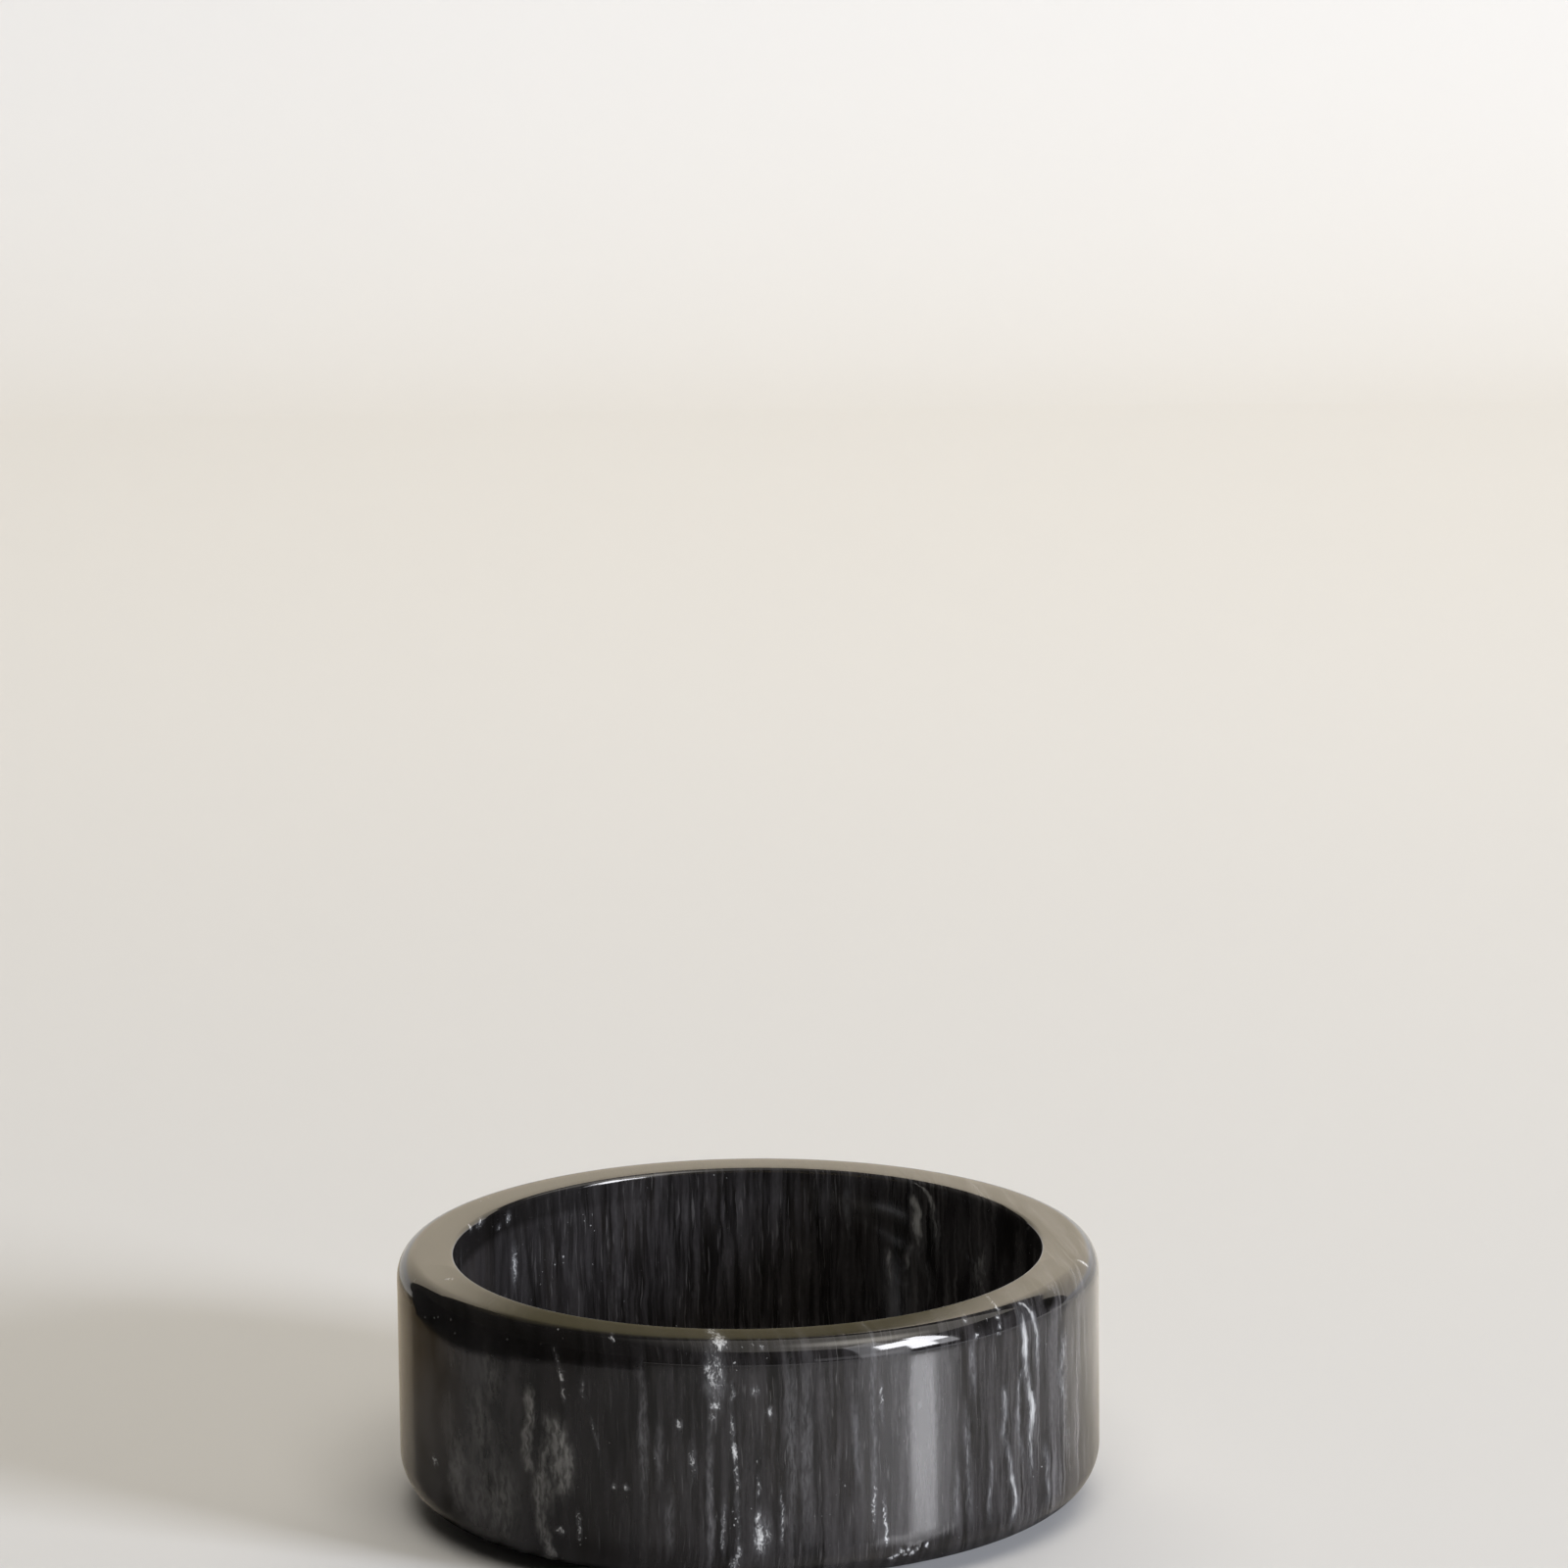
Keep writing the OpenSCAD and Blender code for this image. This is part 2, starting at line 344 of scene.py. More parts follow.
def black_marble():
    """Black marble, turned and polished: soft grey beds, veins and grains of white calcite, a wet shine."""
    material, tree, shader = new_material("black_marble", IOR=1.56)
    place = add(tree, "ShaderNodeTexCoord").outputs["Object"]
    beds = add(tree, "ShaderNodeMapping", {
        "Vector": place, "Rotation": (0, 0, -BED_TURN), "Scale": (1 / MM, 1 / MM, 1 / MM)})
    along_beds = add(tree, "ShaderNodeSeparateXYZ", {0: beds}).outputs

    # The axes of the beds, still, and pushed about by up to half the reach of each wander
    axes = {"still": beds}
    for name, (wave, detail, reach) in WANDERS.items():
        push = add(tree, "ShaderNodeTexNoise", {"Vector": beds, "Scale": 1 / wave, "Detail": detail})
        centred = add(tree, "ShaderNodeVectorMath", {0: push.outputs["Color"], 1: (0.5, 0.5, 0.5)},
                      operation="SUBTRACT")
        axes[name] = add(tree, "ShaderNodeVectorMath", {0: centred, 1: reach, 2: beds},
                         operation="MULTIPLY_ADD")

    def grain(wander, size, detail):
        """Grain of that size across, along and up the beds, on one of their wanders."""
        stretched = add(tree, "ShaderNodeVectorMath", {0: axes[wander], 1: size}, operation="DIVIDE")
        return add(tree, "ShaderNodeTexNoise", {
            "Vector": stretched, "Scale": 1, "Detail": detail, "Roughness": 0.5})

    def strongest_lens(wander, spots):
        """The strongest of these soft lenses, each half as strong at about its half sizes."""
        strongest = 0.0
        for centre, half, strength in spots:
            scale = [1 / size for size in half]
            offset = [-middle / size for middle, size in zip(bed_point(*centre), half)]
            share = add(tree, "ShaderNodeVectorMath", {0: axes[wander], 1: scale, 2: offset},
                        operation="MULTIPLY_ADD")
            away = add(tree, "ShaderNodeVectorMath", {0: share}, operation="LENGTH").outputs["Value"]
            soft = add(tree, "ShaderNodeMapRange", {
                "Value": away, "From Min": 0, "From Max": LENS_REACH, "To Min": strength, "To Max": 0},
                interpolation_type="SMOOTHSTEP")
            strongest = add(tree, "ShaderNodeMath", {0: strongest, 1: soft}, operation="MAXIMUM")
        return strongest

    def curve_up(height, points):
        """A smooth curve up the beds through points of a height share and a value, cut off at 0 and 1."""
        made = add(tree, "ShaderNodeFloatCurve", {"Value": height})
        curve = made.mapping.curves[0]
        upwards = sorted(points)
        curve.points[0].location = (0, upwards[0][1])
        curve.points[-1].location = (1, upwards[-1][1])
        for point in upwards:
            curve.points.new(*point)
        made.mapping.update()
        return made

    def strongest_vein(wander, veins):
        """The strongest of these veins, each a wandering sheet on edge, half as strong at its half width."""
        where = add(tree, "ShaderNodeSeparateXYZ", {0: axes[wander]}).outputs
        across = add(tree, "ShaderNodeMapRange", {
            "Value": where["X"], "From Min": -VEIN_HALF_SPAN, "From Max": VEIN_HALF_SPAN})
        height = add(tree, "ShaderNodeMapRange", {"Value": where["Z"], "From Min": 0, "From Max": VEIN_TOP})
        strongest = 0.0
        span = 2 * VEIN_HALF_SPAN
        for half_width, points in veins.values():
            on_bed = [(z / VEIN_TOP, bed_point(*on_front(x, z))[0], white) for x, z, white in points]
            path = curve_up(height, [(up, (x + VEIN_HALF_SPAN) / span) for up, x, white in on_bed])
            strength = curve_up(height, [(up, white) for up, x, white in on_bed])
            off = add(tree, "ShaderNodeMath", {0: across, 1: path}, operation="SUBTRACT")
            aside = add(tree, "ShaderNodeMath", {0: off}, operation="ABSOLUTE")
            soft = add(tree, "ShaderNodeMapRange", {
                "Value": aside, "From Min": 0, "From Max": half_width / VEIN_HALF_SPAN,
                "To Min": strength, "To Max": 0}, interpolation_type="SMOOTHSTEP")
            strongest = add(tree, "ShaderNodeMath", {0: strongest, 1: soft}, operation="MAXIMUM")
        return strongest

    def broken_up(marks, wander, size, detail, depth, none_at, all_at):
        """Marks cut into by a grain to that depth, from nothing at one strength to all at another."""
        uneven = add(tree, "ShaderNodeMath", {0: grain(wander, size, detail), 1: depth, 2: -depth / 2},
                     operation="MULTIPLY_ADD")
        cut = add(tree, "ShaderNodeMath", {0: marks, 1: uneven}, operation="ADD")
        return add(tree, "ShaderNodeMapRange", {"Value": cut, "From Min": none_at, "From Max": all_at})

    # How much of each thing there is at each place
    shares = {}
    for name, (axis, start, end, first, last) in REGIONS.items():
        shares[name] = add(tree, "ShaderNodeMapRange", {
            "Value": along_beds[axis], "From Min": start, "From Max": end, "To Min": first, "To Max": last})
    for name, (wander, size, detail, low, high, first, last) in PATTERNS.items():
        shares[name] = add(tree, "ShaderNodeMapRange", {
            "Value": grain(wander, size, detail), "From Min": low, "From Max": high,
            "To Min": first, "To Max": last})

    # Marks on the front: grey bands, the loop and its clouds, and painted shade on the edge under the rim
    shares["front bands"] = strongest_lens("drifting", front_spots(FRONT_BANDS))
    loop = add(tree, "ShaderNodeMath", {0: strongest_vein("ragged", LOOP), 1: shares["front"]},
               operation="MULTIPLY")
    shares["loop and clouds"] = add(tree, "ShaderNodeMath", {
        0: strongest_lens("drifting", front_spots(GREY_CLOUDS)), 1: loop}, operation="MAXIMUM")
    shade_height = add(tree, "ShaderNodeMath", {0: along_beds["Z"], 1: shares["edge drop"]}, operation="ADD")
    edge = add(tree, "ShaderNodeMapRange", {
        "Value": shade_height, "From Min": SHADED_EDGE_Z[0], "From Max": SHADED_EDGE_Z[1]})
    # Painted shade: the stone is darkened from under the rim upwards, most to the left
    edge_shade = add(tree, "ShaderNodeMath", {0: edge, 1: shares["edge darkness"]}, operation="MULTIPLY")
    shares["dark stone"] = add(tree, "ShaderNodeMath", {
        0: edge_shade, 1: strongest_lens("wavering", front_spots(DARK_STONE_AND_SHADE))}, operation="MAXIMUM")

    # Calcite: granular patches, lines of grains, veins that come and go along the beds, and a few specks
    grain_lines = add(tree, "ShaderNodeMath", {
        0: strongest_vein("ragged", BEADED_LINES), 1: shares["front"]}, operation="MULTIPLY")
    granular = add(tree, "ShaderNodeMath", {
        0: strongest_lens("ragged", front_spots(GRANULAR_CALCITE) + OTHER_CALCITE), 1: grain_lines},
        operation="MAXIMUM")
    shown = add(tree, "ShaderNodeMath", {0: shares["front"], 1: shares["vein stretches"]},
                operation="MAXIMUM")
    veins = add(tree, "ShaderNodeMath", {0: strongest_vein("wavering", VEINS), 1: shown},
                operation="MULTIPLY")
    specks = add(tree, "ShaderNodeMath", {0: shares["specks"], 1: shares["few places"]},
                 operation="MULTIPLY")
    shares["calcite"] = add(tree, "ShaderNodeMath", {0: granular, 1: veins}, operation="MAXIMUM")
    broken = add(tree, "ShaderNodeMath", {
        0: broken_up(granular, *GRAIN_CUTS), 1: broken_up(veins, *VEIN_CUTS)}, operation="MAXIMUM")
    shares["white"] = add(tree, "ShaderNodeMath", {0: broken, 1: specks}, operation="MAXIMUM")

    stone = linear(STONE_BLACK)
    for colour, strength, names in LAYERS:
        for name in names:
            strength = add(tree, "ShaderNodeMath", {0: strength, 1: shares[name]}, operation="MULTIPLY")
        stone = add(tree, "ShaderNodeMix", {MIX_FACTOR: strength, MIX_A: stone, MIX_B: linear(colour)},
                    data_type="RGBA").outputs[MIXED]
    tree.links.new(stone, shader.inputs["Base Color"])
    dull = add(tree, "ShaderNodeMath", {0: shares["white"], 1: CALCITE_DULLNESS, 2: shares["polish"]},
               operation="MULTIPLY_ADD")
    tree.links.new(dull.outputs[0], shader.inputs["Roughness"])
    return material


def pressed_felt():
    """Charcoal wool felt, pressed: matt, with paler and darker fibres."""
    material, tree, shader = new_material("pressed_felt", Roughness=0.95, Sheen_Weight=0.3)
    place = add(tree, "ShaderNodeTexCoord").outputs["Object"]
    fleck = add(tree, "ShaderNodeTexNoise", {"Vector": place, "Scale": 1 / FELT_FLECK, "Detail": 3})
    colour = add(tree, "ShaderNodeMix", {
        MIX_FACTOR: fleck, MIX_A: linear("#232226"), MIX_B: linear("#4c4b52")}, data_type="RGBA")
    tree.links.new(colour.outputs[MIXED], shader.inputs["Base Color"])
    return material


def acrylic_adhesive():
    """Acrylic adhesive film: straw-coloured, half matt, clouded where it has taken."""
    material, tree, shader = new_material("acrylic_adhesive", Roughness=0.4, IOR=1.47)
    place = add(tree, "ShaderNodeTexCoord").outputs["Object"]
    cloud = add(tree, "ShaderNodeTexNoise", {"Vector": place, "Scale": 1 / FILM_CLOUD, "Detail": 2})
    colour = add(tree, "ShaderNodeMix", {
        MIX_FACTOR: cloud, MIX_A: linear("#c3bca6"), MIX_B: linear("#d9d4c6")}, data_type="RGBA")
    tree.links.new(colour.outputs[MIXED], shader.inputs["Base Color"])
    return material


# Outlines for the lathe
def straight(start, end, step):
    """Points from start up to, but not at, end."""
    count = max(1, round(math.dist(start, end) / step))
    return [(start[0] + (end[0] - start[0]) * i / count, start[1] + (end[1] - start[1]) * i / count)
            for i in range(count)]


def rounded(centre, radii, first, last, steps):
    """Points round an edge from one angle in degrees up to, but not at, another."""
    angles = [math.radians(first + (last - first) * i / steps) for i in range(steps)]
    return [(centre[0] + radii[0] * math.cos(a), centre[1] + radii[1] * math.sin(a)) for a in angles]


def dish_outline():
    """Half section of the dish: out along the underside, up the wall, over the rim and down the well."""
    foot = (DISH_R - BASE_EDGE_R, UNDERSIDE_Z)
    wall_low = (DISH_R, UNDERSIDE_Z + BASE_EDGE_R)
    wall_high = (DISH_R, RIM_Z - RIM_RUN_OUT)
    rim_out = (DISH_R - RIM_OUTER_R, RIM_Z)
    rim_in = (WELL_R + RIM_INNER_R, RIM_Z)
    well_high = (WELL_R, RIM_Z - RIM_INNER_R)
    well_low = (WELL_R, FLOOR_Z + COVE_R)
    floor_out = (WELL_R - COVE_R, FLOOR_Z)
    outside = (straight((0, UNDERSIDE_Z), foot, FLAT_STEP)
               + rounded((foot[0], wall_low[1]), (BASE_EDGE_R, BASE_EDGE_R), -90, 0, FOOT_EDGE_STEPS)
               + straight(wall_low, wall_high, WALL_STEP))
    rim = (rounded((rim_out[0], wall_high[1]), (RIM_OUTER_R, RIM_RUN_OUT), 0, 90, EDGE_STEPS)
           + straight(rim_out, rim_in, RIM_STEP)
           + rounded((rim_in[0], well_high[1]), (RIM_INNER_R, RIM_INNER_R), 90, 180, SMALL_EDGE_STEPS))
    inside = (straight(well_high, well_low, WALL_STEP)
              + rounded((floor_out[0], well_low[1]), (COVE_R, COVE_R), 0, -90, SMALL_EDGE_STEPS)
              + straight(floor_out, (0, FLOOR_Z), FLAT_STEP)
              + [(0, FLOOR_Z)])
    # The rim falls away a little to both sides of its middle
    middle = (DISH_R + WELL_R) / 2
    crowned = [(r, z - RIM_CROWN * ((r - middle) / (DISH_R - middle)) ** 2) for r, z in rim]
    return outside + crowned + inside


def felt_outline(radius, low, high):
    """Half section of a felt disc with a worn lower edge."""
    edge = (radius - FELT_EDGE_R, low + FELT_EDGE_R)
    return (straight((0, low), (edge[0], low), FELT_STEP)
            + rounded(edge, (FELT_EDGE_R, FELT_EDGE_R), -90, 0, SMALL_EDGE_STEPS)
            + straight((radius, edge[1]), (radius, high), FELT_STEP)
            + straight((radius, high), (0, high), FELT_STEP)
            + [(0, high)])


def new_tree(name, inputs):
    """An empty Geometry Nodes tree with those named inputs and one geometry output."""
    tree = bpy.data.node_groups.new(name, "GeometryNodeTree")
    for label, kind in inputs.items():
        tree.interface.new_socket(label, in_out="INPUT", socket_type="NodeSocket" + kind)
    tree.interface.new_socket("Piece", in_out="OUTPUT", socket_type="NodeSocketGeometry")
    return tree, add(tree, "NodeGroupInput").outputs


def lathe_tree():
    """Turns a half section about the vertical axis, adds the polish's slow waves and a chipped place."""
    tree, given = new_tree("lathe", {
        "Half section": "Geometry", "Steps": "Int", "Wave length": "Float", "Wave height": "Float",
        "Chip place": "Vector", "Chip reach": "Vector", "Chip grain": "Float", "Chip depth": "Float",
        "Finish": "Material"})

    # A sheet of points, one row for each point of the section, wrapped round the axis
    section = add(tree, "GeometryNodeAttributeDomainSize", {"Geometry": given["Half section"]},
                  component="CURVE")
    across = add(tree, "FunctionNodeIntegerMath", {0: given["Steps"], 1: 1}, operation="ADD")
    sheet = add(tree, "GeometryNodeMeshGrid", {
        "Vertices X": section.outputs["Point Count"], "Vertices Y": across})
    number = add(tree, "GeometryNodeInputIndex")
    row = add(tree, "FunctionNodeIntegerMath", {0: number, 1: across}, operation="DIVIDE_FLOOR")
    column = add(tree, "FunctionNodeIntegerMath", {0: number, 1: across}, operation="MODULO")
    place = add(tree, "GeometryNodeInputPosition")
    on_section = add(tree, "GeometryNodeSampleIndex", {
        "Geometry": given["Half section"], "Value": place, "Index": row}, data_type="FLOAT_VECTOR")
    step = add(tree, "ShaderNodeMath", {0: 2 * math.pi, 1: given["Steps"]}, operation="DIVIDE")
    angle = add(tree, "ShaderNodeMath", {0: column, 1: step}, operation="MULTIPLY")
    turned = add(tree, "ShaderNodeVectorRotate", {"Vector": on_section, "Angle": angle},
                 rotation_type="Z_AXIS")
    wrapped = add(tree, "GeometryNodeSetPosition", {"Geometry": sheet, "Position": turned})
    closed = add(tree, "GeometryNodeMergeByDistance", {"Geometry": wrapped, "Distance": SEAM_MERGE})

    # Waves along the normal, less the pits of the chipped place
    wave_scale = add(tree, "ShaderNodeMath", {0: 1, 1: given["Wave length"]}, operation="DIVIDE")
    waves = add(tree, "ShaderNodeTexNoise", {"Scale": wave_scale, "Detail": 1})
    centred = add(tree, "ShaderNodeMath", {0: waves, 1: 0.5}, operation="SUBTRACT")
    swell = add(tree, "ShaderNodeMath", {0: centred, 1: given["Wave height"]}, operation="MULTIPLY")
    away = add(tree, "ShaderNodeVectorMath", {0: place, 1: given["Chip place"]}, operation="SUBTRACT")
    share = add(tree, "ShaderNodeVectorMath", {0: away, 1: given["Chip reach"]}, operation="DIVIDE")
    reach = add(tree, "ShaderNodeVectorMath", {0: share}, operation="LENGTH")
    inside = add(tree, "ShaderNodeMapRange", {
        "Value": reach.outputs["Value"], "From Min": CHIP_FADES, "From Max": 1, "To Min": 1, "To Max": 0})
    pit_scale = add(tree, "ShaderNodeMath", {0: 1, 1: given["Chip grain"]}, operation="DIVIDE")
    rough = add(tree, "ShaderNodeTexNoise", {"Scale": pit_scale, "Detail": 1})
    pits = add(tree, "ShaderNodeMapRange", {
        "Value": rough, "From Min": CHIP_PIT_NOISE[0], "From Max": CHIP_PIT_NOISE[1],
        "To Min": 0, "To Max": given["Chip depth"]})
    sunk = add(tree, "ShaderNodeMath", {0: inside, 1: pits}, operation="MULTIPLY")
    lift = add(tree, "ShaderNodeMath", {0: swell, 1: sunk}, operation="SUBTRACT")
    offset = add(tree, "ShaderNodeVectorMath", {0: add(tree, "GeometryNodeInputNormal"), "Scale": lift},
                 operation="SCALE")
    polished = add(tree, "GeometryNodeSetPosition", {"Geometry": closed, "Offset": offset})
    smooth = add(tree, "GeometryNodeSetShadeSmooth", {"Geometry": polished})
    real = add(tree, "GeometryNodeRealizeInstances", {"Geometry": smooth})
    finished = add(tree, "GeometryNodeSetMaterial", {"Geometry": real, "Material": given["Finish"]})
    add(tree, "NodeGroupOutput", {"Piece": finished})
    return tree


def fuzz_tree():
    """Short bent fibres that stand out from the side of a felt disc, kept between its two faces."""
    tree, given = new_tree("fuzz", {
        "Disc": "Geometry", "Density": "Float", "Seed": "Int", "Length": "Float", "Thickness": "Float",
        "Low": "Float", "High": "Float", "Finish": "Material"})
    up = add(tree, "ShaderNodeSeparateXYZ", {0: add(tree, "GeometryNodeInputNormal")}).outputs["Z"]
    flat = add(tree, "ShaderNodeMath", {0: up}, operation="ABSOLUTE")
    on_side = add(tree, "ShaderNodeMath", {0: flat, 1: FUZZ_SIDE}, operation="LESS_THAN")
    roots = add(tree, "GeometryNodeDistributePointsOnFaces", {
        "Mesh": given["Disc"], "Selection": on_side, "Density": given["Density"], "Seed": given["Seed"]})

    tip = add(tree, "ShaderNodeVectorMath", {0: FUZZ_TIP, "Scale": given["Length"]}, operation="SCALE")
    bend = add(tree, "ShaderNodeVectorMath", {0: FUZZ_BEND, "Scale": given["Length"]}, operation="SCALE")
    line = add(tree, "GeometryNodeCurveQuadraticBezier", {
        "Resolution": 3, "Start": (0, 0, 0), "Middle": bend, "End": tip})
    round_section = add(tree, "GeometryNodeCurvePrimitiveCircle", {
        "Resolution": 3, "Radius": given["Thickness"]})
    fibre = add(tree, "GeometryNodeCurveToMesh", {"Curve": line, "Profile Curve": round_section})

    spin = add(tree, "FunctionNodeRandomValue", {
        RANDOM_MIN: 0, RANDOM_MAX: 2 * math.pi, RANDOM_SEED: given["Seed"]}, data_type="FLOAT")
    about_normal = add(tree, "FunctionNodeAxisAngleToRotation", {
        "Axis": (0, 0, 1), "Angle": spin.outputs[RANDOM_FLOAT]})
    lie = add(tree, "FunctionNodeRotateRotation", {
        "Rotation": roots.outputs["Rotation"], "Rotate By": about_normal}, rotation_space="LOCAL")
    size = add(tree, "FunctionNodeRandomValue", {
        RANDOM_MIN: FUZZ_SIZES[0], RANDOM_MAX: FUZZ_SIZES[1], RANDOM_SEED: given["Seed"]}, data_type="FLOAT")
    planted = add(tree, "GeometryNodeInstanceOnPoints", {
        "Points": roots, "Instance": fibre, "Rotation": lie, "Scale": size.outputs[RANDOM_FLOAT]})
    fuzz = add(tree, "GeometryNodeRealizeInstances", {"Geometry": planted})

    where = add(tree, "ShaderNodeSeparateXYZ", {0: add(tree, "GeometryNodeInputPosition")}).outputs
    kept = add(tree, "ShaderNodeClamp", {"Value": where["Z"], "Min": given["Low"], "Max": given["High"]})
    pressed = add(tree, "ShaderNodeCombineXYZ", {"X": where["X"], "Y": where["Y"], "Z": kept})
    between_faces = add(tree, "GeometryNodeSetPosition", {"Geometry": fuzz, "Position": pressed})
    both = add(tree, "GeometryNodeJoinGeometry", {0: between_faces})
    tree.links.new(given["Disc"], both.inputs[0])
    finished = add(tree, "GeometryNodeSetMaterial", {"Geometry": both, "Material": given["Finish"]})
    add(tree, "NodeGroupOutput", {"Piece": finished})
    return tree


def made_with(tree, base, name, values):
    """Runs a Geometry Nodes tree on a base object and keeps the result as a plain mesh piece."""
    modifier = base.modifiers.new(tree.name, "NODES")
    modifier.node_group = tree
    for socket in tree.interface.items_tree:
        if socket.in_out == "INPUT" and socket.name in values:
            modifier[socket.identifier] = values[socket.name]
    bpy.context.view_layer.update()
    shaper = bpy.context.evaluated_depsgraph_get()
    mesh = bpy.data.meshes.new_from_object(base.evaluated_get(shaper), depsgraph=shaper)
    base.modifiers.remove(modifier)
    bpy.data.objects.remove(base)
    piece = bpy.data.objects.new(name, mesh)
    bpy.context.scene.collection.objects.link(piece)
    return piece


def section_curve(name, outline):
    """A half section as an open curve, radius along X and height along Z."""
    curve = bpy.data.curves.new(name, "CURVE")
    curve.dimensions = "3D"
    spline = curve.splines.new("POLY")
    spline.points.add(len(outline) - 1)
    for point, (radius, height) in zip(spline.points, outline):
        point.co = (radius, 0, height, 1)
    made = bpy.data.objects.new(name, curve)
    bpy.context.scene.collection.objects.link(made)
    return made


marble = black_marble()
felt = pressed_felt()
adhesive = acrylic_adhesive()
lathe = lathe_tree()
fuzz = fuzz_tree()

dish = made_with(lathe, section_curve("dish_section", dish_outline()), "polished_dish", {
    "Steps": LATHE_STEPS, "Wave length": POLISH_WAVE, "Wave height": POLISH_HEIGHT, "Chip place": CHIP_PLACE,
    "Chip reach": CHIP_REACH, "Chip grain": CHIP_GRAIN, "Chip depth": CHIP_DEPTH, "Finish": marble})
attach(dish, "root")
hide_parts("stone_dish")

# Felt discs under the foot, and the films that hold them
for seed, corner in enumerate(("front_left", "front_right", "rear_left", "rear_right")):
    low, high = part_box("felt_pad_" + corner)
    section = section_curve("felt_section", felt_outline((high.x - low.x) / 2, low.z, high.z))
    disc = made_with(lathe, section, "felt_blank", {"Steps": FELT_STEPS, "Wave length": FELT_WAVE,
                                                    "Wave height": FELT_WAVE_HEIGHT, "Finish": felt})
    piece = made_with(fuzz, disc, "felt_disc_" + corner, {
        "Density": FUZZ_PER_MM2 / MM ** 2, "Seed": seed, "Length": FUZZ_LENGTH, "Thickness": FUZZ_R,
        "Low": low.z + FUZZ_R, "High": high.z - FUZZ_R, "Finish": felt})
    piece.data.transform(Matrix.Translation(((low.x + high.x) / 2, (low.y + high.y) / 2, 0)))
    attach(piece, "root")
    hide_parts("felt_pad_" + corner)
    film = frame["nodes"]["adhesive_film_" + corner]
    film.data.materials.clear()
    film.data.materials.append(adhesive)


# Studio: a pale floor and a backdrop that sweeps up from it, in metres
FLOOR_HALF = 3.0
BACKDROP_START_Y = 1.1
BACKDROP_CURVE_R = 0.3
BACKDROP_LEFT_X, BACKDROP_RIGHT_X = -1.05, 2.0
BACKDROP_LEFT_TOP, BACKDROP_RIGHT_TOP = 1.03, 1.35
BACKDROP_STEPS = 24
FLOOR_GREY, BACK_GREY, BACKDROP_CREAM = "#d7d7d7", "#d8d8d8", "#f0e4cd"
BACK_GREY_Y = (0.42, 0.7)
CREAM_Z = (0.1, 0.35)
# A black card curves round the left of the dish, and paints a dark reflection in its polish
CARD_CENTRE = (35 * MM, -20 * MM)
CARD_R = 213 * MM
CARD_H = 80 * MM
CARD_FROM, CARD_TO = 150, 234
CARD_STEPS = 24
CARD_BLACK = "#050505"
# Grey satin lies in front of it, with painted shade: darker across to the left, brown to the back there, and
# a painted shadow round the foot.
SATIN_X, SATIN_Y, SATIN_Z = (-0.45, 0.9), (-0.8, 0.25), 0.4 * MM
SATIN_GREY, SATIN_SHADED_LEFT_GREY, SATIN_SHADED_BROWN, SATIN_FOOT_SHADOW = "#dedede", "#919090", "#908168", "#1c1107"
SATIN_LEFT_SHADE_X = (-0.15, 0.12)
SATIN_SHADED_BROWN_Y = (-0.02, 0.06)
# The painted shadow round the foot: where it fades, and the share of the satin's own colour left under it
SATIN_FOOT_SHADOW_R = (0.062, 0.14)
SATIN_SHARE_IN_FOOT_SHADOW = 0.3
# A brown card stands over the well and darkens the front of the rim, as a painted reflection seen only in
# the polish
BROWN_HALF, BROWN_Z, BROWN_LEAN = 0.06, (0.05, 0.24), 0.6
BROWN_X = (-BROWN_HALF - BROWN_LEAN * (BROWN_Z[1] - BROWN_Z[0]), BROWN_HALF)
BROWN_SOLID_HALF = 0.03
CARD_BROWN, CARD_TOP_BLACK = "#857b5a", "#000000"
BROWN_DARKENS_Z = (0.062, 0.13)
BROWN_AT_TOP = 0.03
# A ceiling cloth that glows by itself, painted light for the polish to mirror, with a bright place towards
# the window
CEILING_X, CEILING_Y, CEILING_Z = (-0.8, 1.9), (-1.6, 1.2), 1.8
CEILING_GLOW_X = (-0.9, 0.6)
BRIGHT_PLACE = (0.87, -0.44, CEILING_Z)
BRIGHT_R = (0.1, 0.75)
BRIGHT_GLOW = 3.2
# Lamps: a window to the right, the light of the room, and the dim rest of it
WINDOW_X = 1.0
WINDOW_COLOUR = "#fafaff"
WINDOW_GLOW_COLOUR = "#eef2fc"
ROOM_GLOW_COLOUR = "#fff9ee"
DIM_ROOM = "#363533"


def sheet_object(name, rows, material):
    """A sheet through rows of points, each row as long as the others."""
    width = len(rows[0])
    points = [point for row in rows for point in row]
    faces = [(r * width + c, r * width + c + 1, (r + 1) * width + c + 1, (r + 1) * width + c)
             for r in range(len(rows) - 1) for c in range(width - 1)]
    mesh = bpy.data.meshes.new(name)
    mesh.from_pydata(points, [], faces)
    mesh.polygons.foreach_set("use_smooth", [True] * len(faces))
    mesh.materials.append(material)
    made = bpy.data.objects.new(name, mesh)
    bpy.context.scene.collection.objects.link(made)
    return made


def backdrop_rows():
    """A round sweep up from the floor, then upright."""
    line = [(BACKDROP_START_Y + y, BACKDROP_CURVE_R + z) for y, z in rounded(
        (0, 0), (BACKDROP_CURVE_R, BACKDROP_CURVE_R), -90, 0, BACKDROP_STEPS)]
    wall_y = BACKDROP_START_Y + BACKDROP_CURVE_R
    line.append((wall_y, BACKDROP_CURVE_R))
    rows = [[(BACKDROP_LEFT_X, y, z), (BACKDROP_RIGHT_X, y, z)] for y, z in line]
    top = [(BACKDROP_LEFT_X, wall_y, BACKDROP_LEFT_TOP), (BACKDROP_RIGHT_X, wall_y, BACKDROP_RIGHT_TOP)]
    return rows + [top]


